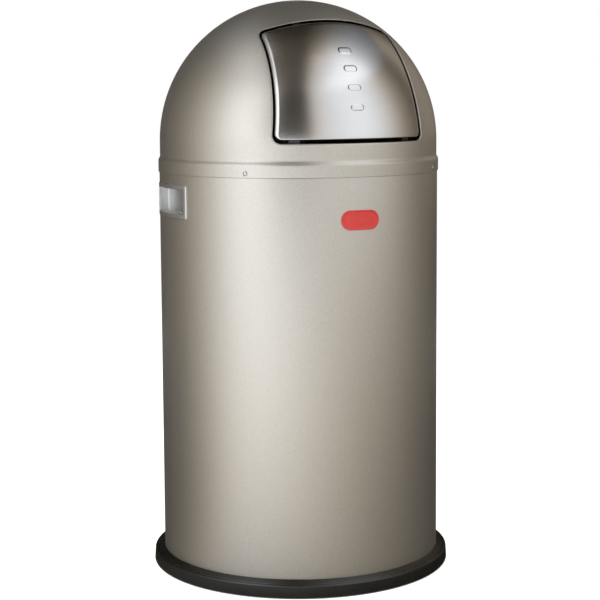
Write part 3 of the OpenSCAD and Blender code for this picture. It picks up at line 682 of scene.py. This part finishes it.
def make_grip(name, side):
    """Grip: a frame that follows the body, a finger recess with an undercut, and its shell."""
    ease, rounding, fillet = 0.9, 2.4, 1.4
    lip, shell = GRIP_FACE - GRIP_LIP, BODY_R - 1.6

    def frame_line(inset):
        return rounded_box(GRIP_W - 2 * inset, GRIP_MID - GRIP_H / 2 + inset,
                           GRIP_MID + GRIP_H / 2 - inset, GRIP_CORNER - inset * 0.6)

    def recess_line(grow, lift=0):
        half = GRIP_H / 2 - GRIP_BORDER
        return rounded_box(GRIP_W - 2 * GRIP_BORDER + 2 * grow, GRIP_MID - half - grow,
                           GRIP_MID + half + grow + lift, max(1.5 + grow, 0.4))

    back, border = recess_line(GRIP_WALL, GRIP_UNDER), frame_line(0)
    loops = [[on_wall(p, RECESS_X - GRIP_WALL) for p in back]]
    for line, radius in ((back, shell), (back, SEAT_R), (frame_line(0.2), SEAT_R),
                         (border, BODY_R + 0.3), (border, GRIP_FACE - ease - 0.2)):
        loops.append([on_tube(p, radius) for p in line])
    for share in spaced(0, 1, 4):
        loops.append([bend(on_tube(p, GRIP_FACE - ease), on_tube(p, GRIP_FACE),
                           on_tube(q, GRIP_FACE), share)
                      for p, q in zip(border, frame_line(rounding))])
    mouth = recess_line(0)
    for share in spaced(0, 1, 4):
        loops.append([bend(on_tube(p, GRIP_FACE), on_tube(q, GRIP_FACE),
                           on_tube(q, GRIP_FACE - ease), share)
                      for p, q in zip(recess_line(ease), mouth)])
    raised = recess_line(0, GRIP_UNDER)
    loops += [[on_tube(p, lip) for p in mouth], [on_tube(p, lip - 0.4) for p in raised],
              [on_wall(p, RECESS_X + 2.2) for p in raised]]
    for share in spaced(0, 1, 5):
        loops.append([bend(on_wall(p, RECESS_X + fillet), on_wall(p, RECESS_X),
                           on_wall(q, RECESS_X), share)
                      for p, q in zip(raised, recess_line(-fillet, GRIP_UNDER))])
    loops += [[on_wall(p, RECESS_X) for p in recess_line(-inset, GRIP_UNDER)]
              for inset in (1.8, 4)]
    grip = draped(name, loops, capped=True)
    grip.data.transform(Matrix.Rotation(side * pi / 2, 4, "Z"))
    dress(smooth(grip, 38), "bin", "grip_metal", name.replace("_casting", ""))


def make_badge():
    """Blank badge: a round-ended shield with a raised rim."""
    def line(inset):
        return rounded_box(BADGE_W - 2 * inset, BADGE_MID - BADGE_H / 2 + inset,
                           BADGE_MID + BADGE_H / 2 - inset, BADGE_H / 2 - inset - 0.01,
                           (10, 18, 1))

    face, field, ease = BODY_R + BADGE_PROUD, BODY_R + BADGE_BASE, 0.45
    middle = Vector((0, BADGE_MID))
    loops = [[on_tube(middle.lerp(p, s), SEAT_R) for p in line(0)] for s in (0.02, 0.5, 1)]
    for share in spaced(0, 1, 4):
        loops.append([bend(on_tube(p, face - ease), on_tube(p, face), on_tube(q, face), share)
                      for p, q in zip(line(0), line(ease))])
    for share in spaced(0, 1, 4):
        loops.append([bend(on_tube(p, face), on_tube(q, face), on_tube(q, face - 0.35), share)
                      for p, q in zip(line(BADGE_RIM - 0.4), line(BADGE_RIM))])
    inside = line(BADGE_RIM + 0.45)
    loops += [[on_tube(p, field + 0.05) for p in line(BADGE_RIM + 0.12)],
              [on_tube(p, field) for p in inside]]
    loops += [[on_tube(middle.lerp(p, s), field) for p in inside]
              for s in (0.85, 0.7, 0.55, 0.4, 0.25, 0.1, 0.02)]
    badge = draped("badge_shield", loops, capped=True)
    dress(smooth(badge, 50), "bin", "badge_red", "badge")


def make_rivets():
    """One turned rivet, copied to the four clips."""
    foot, shank, head = 2.5, 1.6, 3
    tail, seat, crown = 183.3, COLLAR_R + 0.1, 4.7
    profile = eased([(POLE, tail), (foot, tail), (foot, tail + 1), (shank, tail + 1),
                     (shank, seat), (head, seat), (head, seat + 0.3)], 0.15, 2)
    profile += arc((0, seat + 0.3 - 3.6), crown, 50, 84, 9)[1:] + [Vector((POLE, seat + 1.37))]
    rivet = turned("collar_rivet_1", profile, 48)
    lay = Matrix.Translation((0, 0, RIVET_Z * MM)) @ Matrix.Rotation(pi / 2, 4, "Y")
    rivet.data.transform(lay)
    smooth(rivet, 40)
    for number in range(4):
        piece, turn = rivet, 45
        if number:
            piece = bpy.data.objects.new(f"collar_rivet_{number + 1}", rivet.data.copy())
            bpy.context.scene.collection.objects.link(piece)
            turn = 90 * number
        piece.data.transform(Matrix.Rotation(radians(turn), 4, "Z"))
        dress(piece, "dome", "fitting_steel", "collar_rivets")


# Liner, bail and spring

def make_liner():
    """Tapered liner wall with two swages and a rolled rim, and its raised floor."""
    rise = LINER_TOP - LINER_ROLL - LINER_LOW

    def wall_line(inset):
        line = [(WALL_LOW - inset, LINER_LOW)]
        for share in (0.33, 0.66):
            for step, out in ((-1, 0), (-0.5, SWAGE_PROUD), (0.5, SWAGE_PROUD), (1, 0)):
                z = LINER_LOW + rise * share + step * SWAGE_REACH
                taper = (WALL_TOP - WALL_LOW) * (z - LINER_LOW) / rise
                line.append((WALL_LOW + taper - inset + out, z))
        return line + [(WALL_TOP - inset, LINER_TOP - 4.7)]

    outer = eased(wall_line(0), 2.5, 4)
    inner = eased(wall_line(LINER_T), 2.5, 4)
    bead = arc((LINER_MID, LINER_TOP - LINER_ROLL), LINER_ROLL, -62, 205, 26)
    wall = turned("liner_pressing", outer + bead + inner[::-1] + [outer[0]])
    dress(smooth(wall, 40), "liner", "galvanised", "liner_wall")
    foot = WALL_LOW - LINER_T - 0.1
    top = LINER_LOW + 6
    line = [(POLE, top), (foot - 1.8, top), (foot - LINER_T, top - 1), (foot - LINER_T, LINER_LOW),
            (foot, LINER_LOW), (foot + 0.04, top + LINER_T), (POLE, top + LINER_T)]
    floor = turned("liner_floor_pressing", eased(line, 0.5, 3), 160)
    dress(smooth(floor), "liner", "galvanised", "liner_floor")


def make_bail():
    """Wire bail with its pins turned in through the ears, and its sleeve with rounded ends."""
    ease = 4
    turn = ease / BAIL_R
    corner = Vector((0, -BAIL_R))
    start = [Vector((0, -PIN_IN)), Vector((0, -BAIL_R + ease))]
    arc_in = BAIL_R * Vector((sin(turn), -cos(turn)))
    start += [bend(start[1], corner, arc_in, share) for share in spaced(0, 1, 6)][1:-1]
    sweep = [BAIL_R * Vector((sin(a), -cos(a))) for a in spaced(turn, pi - turn, 120)]
    flat = start + sweep + [Vector((p.x, -p.y)) for p in start[::-1]]
    path = [Vector((p.x, p.y, PIVOT_Z)) for p in flat]
    dress(smooth(bent_rod("bail_wire", path, BAIL_WIRE), 50), "bail", "fitting_steel", "bail")

    swell = [2.05, 4.0, 4.5, 4.8, 4.95, 5]
    shares = [0, 0, 0.004, 0.012, 0.03, 0.06] + spaced(0.1, 0.9, 24)
    shares += [0.94, 0.97, 0.988, 0.996, 1, 1]
    radii = swell + [SLEEVE_R] * 25 + swell[::-1]
    path = []
    for share in shares:
        a = SLEEVE_HALF * (2 * share - 1)
        path.append(Vector((BAIL_R * cos(a), BAIL_R * sin(a), PIVOT_Z)))
    path[0] = path[1] - (path[2] - path[1]).normalized() * 0.02
    path[-1] = path[-2] + (path[-2] - path[-3]).normalized() * 0.02
    sleeve = bent_rod("bail_grip", path, radii, 40)
    dress(smooth(sleeve, 60), "bail", "sleeve_plastic", "bail_sleeve")


def make_spring():
    """Torsion spring: a leg to the dome, turns round the axle that wind up, a leg to the flap."""
    hinge = Vector((HINGE.y, HINGE.z - DOME_Z))

    def aim(radius, angle):
        reach = sqrt(radius ** 2 - SPRING_LEN ** 2 / 4)
        return Vector((-reach * sin(radians(angle)), reach * cos(radians(angle)))) - hinge

    def tangent(target, sign):
        return atan2(target.y, target.x) + sign * acos(SPRING_R / target.length)

    flap_aim, dome_aim = aim(*FLAP_LEG), aim(*DOME_LEG)
    start, stop = tangent(dome_aim, 1), tangent(flap_aim, -1)
    sweep = 2 * pi * SPRING_TURNS + stop - start
    count = round(sweep / (2 * pi) * 28)
    coil = []
    for i in range(count + 1):
        angle = start + sweep * i / count
        coil.append(Vector((SPRING_LEN * (i / count - 0.5), SPRING_R * cos(angle),
                            SPRING_R * sin(angle))))
    first = Vector((-SPRING_LEN / 2, dome_aim.x, dome_aim.y))
    last = Vector((SPRING_LEN / 2, flap_aim.x, flap_aim.y))
    leg_in = [first.lerp(coil[0], s) for s in (0, 0.25, 0.5, 0.75, 0.92)]
    leg_out = [coil[-1].lerp(last, s) for s in (0.08, 0.25, 0.5, 0.75, 1)]
    path = [p + HINGE for p in leg_in + coil + leg_out]
    spring = smooth(bent_rod("torsion_spring", path, SPRING_WIRE, 14), 60)
    dress(spring, None, "fitting_steel", "flap_spring")
    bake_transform(spring)


make_dome()
make_flap()
make_body()
make_ring()
make_floor_plate()
make_grip("right_grip_casting", 1)
make_grip("left_grip_casting", -1)
make_badge()
make_rivets()
make_liner()
make_bail()
make_spring()


# Studio, in metres

CAMERA_TURN, CAMERA_AWAY, CAMERA_HIGH = -24.47, 2.1862, 0.6559
AIM_HIGH = 0.5  # what the lamps face
LAMP_AWAY = 2.4
WALL_AWAY = 1.9
TOP_HIGH, TOP_HALF = 2.2, 2
MAT_HIGH, MAT_REACH = 0.0012, 1.6993
SCREEN_POWER = 4.0
DIM, CLEAN = (1.24, 1.0, 0.72), (0.955, 1.0, 1.085)  # tints of a screen's dim and full parts


def seen_from(bearing, rise, distance, height=AIM_HIGH):
    """A place round the bin. The bearing counts from the camera, to the right in the picture."""
    turn, lift = radians(CAMERA_TURN + bearing), radians(rise)
    away = Vector((sin(turn) * cos(lift), -cos(turn) * cos(lift), sin(lift)))
    return away * distance + Vector((0, 0, height))


def softlight(name, bearing, rise, size, level):
    """A square lamp that faces the bin and adds the level, where 1 is white. It isn't mirrored."""
    lamp = bpy.data.lights.new(name, "AREA")
    lamp.shape = "RECTANGLE"
    lamp.size = lamp.size_y = size
    lamp.energy = level * pi * pi * LAMP_AWAY * LAMP_AWAY
    holder = bpy.data.objects.new(name, lamp)
    place = seen_from(bearing, rise, LAMP_AWAY)
    ahead = (Vector((0, 0, AIM_HIGH)) - place).to_track_quat("-Z", "Y").to_matrix().to_4x4()
    holder.matrix_world = Matrix.Translation(place) @ ahead
    holder.visible_glossy = False
    bpy.context.scene.collection.objects.link(holder)


def glow(level, clean):
    """Colour of a screen at a level: dim parts are warm, and parts at the clean level are white."""
    share = min(level / clean, 1)
    return tuple(level * (dim + (full - dim) * share) for dim, full in zip(DIM, CLEAN))


def screen(name, place, across, up=((0, 1), (1, 1)), clean=1.1):
    """A screen that only reflections see. Its level runs across and up between stops of a share."""
    let_go()
    bpy.ops.mesh.primitive_grid_add(x_subdivisions=72, y_subdivisions=12, size=1)
    paper = bpy.context.object
    paper.name = name
    for vertex in paper.data.vertices:
        vertex.co = place(vertex.co.x + 0.5, vertex.co.y + 0.5)
    lit = Finish(name, Base_Color=rgb(0, 0, 0), Roughness=1.0, Specular_IOR_Level=0.0,
                 Emission_Strength=SCREEN_POWER)
    spot = lit.node("ShaderNodeTexCoord", output="UV")
    sideways = lit.node("ShaderNodeSeparateXYZ", inputs={0: spot})
    height = lit.node("ShaderNodeSeparateXYZ", inputs={0: spot}, output=1)
    shades = lit.ramp(sideways, *[(share, tuple(c / SCREEN_POWER for c in glow(level, clean)))
                                  for share, level in across])
    fade = lit.ramp(height, *[(share, (level,) * 3) for share, level in up])
    lit.feed(Emission_Color=lit.between(shades, fade, 1.0, "MULTIPLY"))
    lit.material.cycles.emission_sampling = "NONE"
    paper.data.materials.append(lit.material)
    paper.visible_camera = paper.visible_diffuse = paper.visible_shadow = False


def background_rays(nodes):
    """One where the background is looked at, straight or in metal or glass."""
    rays = nodes.node("ShaderNodeLightPath").socket.node.outputs
    camera, glossy, through = [Value(nodes, rays[name]) for name in (
        "Is Camera Ray", "Is Glossy Ray", "Is Transmission Ray")]
    return camera.maths("MAXIMUM", camera, camera.maths("MAXIMUM", glossy, through))


def round_about(*stops):
    """Stops round the whole bin, from bearings."""
    return [((bearing + 180) / 360, level) for bearing, level in stops]


def across_top(*stops):
    """Stops across the screens overhead, from metres to the right of the bin."""
    return [((side + TOP_HALF) / (2 * TOP_HALF), level) for side, level in stops]


def top_place(u, toward):
    """A place on the screens overhead, by its share across and its metres toward the camera."""
    side = 2 * TOP_HALF * u - TOP_HALF
    return seen_from(90, 0, side, TOP_HIGH) + seen_from(0, 0, toward, 0)


def set_background():
    """A pale floor and world that are white to the camera and in metal, and keep the shadow."""
    let_go()
    bpy.ops.mesh.primitive_plane_add(size=24)
    floor = bpy.context.object
    floor.name = "studio_floor"
    pale = Finish("studio_floor", Base_Color=rgb(0.8, 0.8, 0.79), Roughness=0.9,
                  Specular_IOR_Level=0.0, Emission_Strength=0.72)
    pale.feed(Emission_Color=background_rays(pale))
    pale.material.cycles.emission_sampling = "NONE"
    floor.data.materials.append(pale.material)

    world = bpy.data.worlds.new("studio")
    bpy.context.scene.world = world
    world.use_nodes = True
    world.cycles.sampling_method = "NONE"
    sky = Nodes(world.node_tree)
    strength = background_rays(sky) * 0.65 + 0.35
    soft = sky.tree.nodes["Background"]
    soft.inputs["Color"].default_value = rgb(1, 1, 1)
    sky.tree.links.new(strength.socket, soft.inputs["Strength"])


def set_lights():
    """Lamps for the object's colours, and screens for what its metal mirrors."""
    softlight("key", -32, 22, 1.4, 0.6)
    softlight("fill", 48, 30, 1.2, 0.3)
    softlight("back", 180, 38, 1.2, 0.45)

    low = round_about(
        (-180, 0.02), (-152, 0.02), (-136, 0.03), (-120, 0.06), (-105, 0.13), (-87, 0.38),
        (-70, 0.85), (-51, 1.5), (-33, 1.8), (-16, 1.85), (0, 1.55), (17, 1.04), (35, 0.73),
        (53, 0.55), (72, 0.45), (89, 0.29), (108, 0.14), (124, 0.06), (140, 0.03), (156, 0.02),
        (180, 0.02))
    mat = round_about(
        (-180, 0.02), (-136, 0.02), (-120, 0.03), (-105, 0.06), (-87, 0.2), (-70, 0.6),
        (-51, 1.4), (-33, 1.7), (-16, 1.5), (0, 1.25), (17, 1.0), (35, 0.66), (53, 0.38),
        (72, 0.22), (89, 0.11), (108, 0.05), (124, 0.03), (140, 0.02), (180, 0.02))
    left = ((-180, 0.02), (-130, 0.02), (-100, 0.15), (-80, 0.5), (-66, 0.9), (-56, 1.7),
            (-44, 2.0), (-34, 1.95))
    right = ((25, 1.0), (40, 1.2), (55, 1.25), (65, 1.1), (75, 0.85), (85, 0.55), (95, 0.3),
             (110, 0.12), (120, 0.15), (129, 0.3), (140, 0.3), (150, 0.12), (165, 0.03),
             (180, 0.02))
    middle = round_about(*left, (-22, 1.75), (-10, 1.5), (0, 1.2), (10, 0.95), *right)
    high = round_about(*left, (-27, 1.9), (-24, 0.9), (-21, 0.25), (-17, 0.08), (-12, 0.04),
                       (6, 0.03), (9, 0.2), (12, 0.6), (17, 0.85), *right)
    for name, foot, top, levels in (("wall_low", 0.01, 0.5, low), ("wall_middle", 0.5, 0.6, middle),
                                    ("wall_high", 0.6, 2.2, high)):
        screen(name, lambda u, v: seen_from(360 * u - 180, 0, WALL_AWAY, foot + (top - foot) * v),
               levels)
    screen("floor_mat",
           lambda u, v: seen_from(360 * u - 180, 0, WALL_AWAY - MAT_REACH * v, MAT_HIGH), mat,
           ((0, 0.9), (0.6, 0.6), (0.85, 0.42), (0.95, 0.3), (1, 0.12)), clean=2.2)

    beside = ((-2, 0.4), (-1.4, 0.85), (-1.1, 1.15), (-0.95, 1.3))
    beyond = ((0.7, 1.0), (0.9, 1.35), (1.15, 1.45), (1.4, 1.6), (1.6, 1.45), (1.8, 1.3),
              (2, 1.0))
    rear = across_top(*beside, (-0.7, 1.1), (-0.58, 0.7), (-0.46, 0.1), (0.12, 0.05), (0.2, 0.12),
                      (0.32, 0.24), (0.46, 0.5), *beyond)
    front = across_top(*beside, (-0.85, 1.4), (-0.76, 1.0), (-0.66, 0.12), (0.14, 0.03),
                       (0.26, 0.3), (0.38, 0.65), *beyond)
    screen("overhead_rear", lambda u, v: top_place(u, 2.4 * v - 1.9), rear,
           ((0, 0.05), (0.16, 0.08), (0.33, 0.13), (0.47, 0.18), (0.63, 0.27), (0.79, 0.5),
            (0.95, 1), (1, 1)))
    screen("overhead_front", lambda u, v: top_place(u, 1.4 * v + 0.5), front)


def set_camera():
    """Camera at the picture's viewpoint: its distance, height, tilt and slight roll."""
    turn, tilt, roll = radians(CAMERA_TURN), radians(-6.34), radians(-0.367)
    lens = bpy.data.cameras.new("camera")
    lens.lens, lens.sensor_width = 97.56, 36
    lens.shift_x, lens.shift_y = 0.00195, -0.0732
    lens.clip_end = 60
    ahead = Vector((-sin(turn) * cos(tilt), cos(turn) * cos(tilt), sin(tilt)))
    level = Vector((cos(turn), sin(turn), 0))
    upright = level.cross(ahead)
    right = level * cos(roll) + upright * sin(roll)
    up = upright * cos(roll) - level * sin(roll)
    camera = bpy.data.objects.new("camera", lens)
    place = Vector((sin(turn) * CAMERA_AWAY, -cos(turn) * CAMERA_AWAY, CAMERA_HIGH))
    facing = Matrix((right, up, -ahead)).transposed().to_4x4()
    camera.matrix_world = Matrix.Translation(place) @ facing
    bpy.context.scene.collection.objects.link(camera)
    bpy.context.scene.camera = camera


set_background()
set_lights()
set_camera()
bpy.context.scene.view_settings.view_transform = "Standard"
